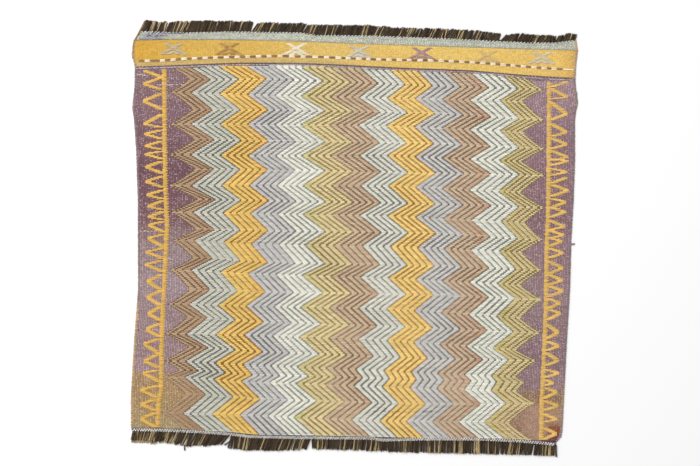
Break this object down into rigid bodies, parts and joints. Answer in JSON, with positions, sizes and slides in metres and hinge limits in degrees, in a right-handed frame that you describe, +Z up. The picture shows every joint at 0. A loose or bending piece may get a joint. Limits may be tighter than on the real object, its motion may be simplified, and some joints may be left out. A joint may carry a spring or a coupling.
{
  "type": "jajim rug",
  "caption": "Flat-woven wool floor rug with a brocaded zigzag field in pale stripes, purple side borders with yellow ladders, a yellow head band and a dark cut fringe at both ends",
  "frame": {"origin": "middle of the rug's footprint, on the floor under its flat underside", "axes": "+X across the rug along its wefts, to the right as it lies with its head away; +Y along its warps towards the head fringe; +Z up from the floor"},
  "size_m": [0.8046, 0.7862, 0.0033],
  "materials": {
    "wool_weave": "matt hand-spun wool, weft-faced and brocaded, in faded yellow, celadon, ivory, lavender-grey, tan and purple",
    "goat_hair_fringe": "wiry near-black brown goat hair with some blond strands, slightly lustrous"
  },
  "bodies": {
    "root": {"rug_cloth": "wool_weave", "head_fringe": "goat_hair_fringe", "foot_fringe": "goat_hair_fringe"}
  },
  "joints": []
}
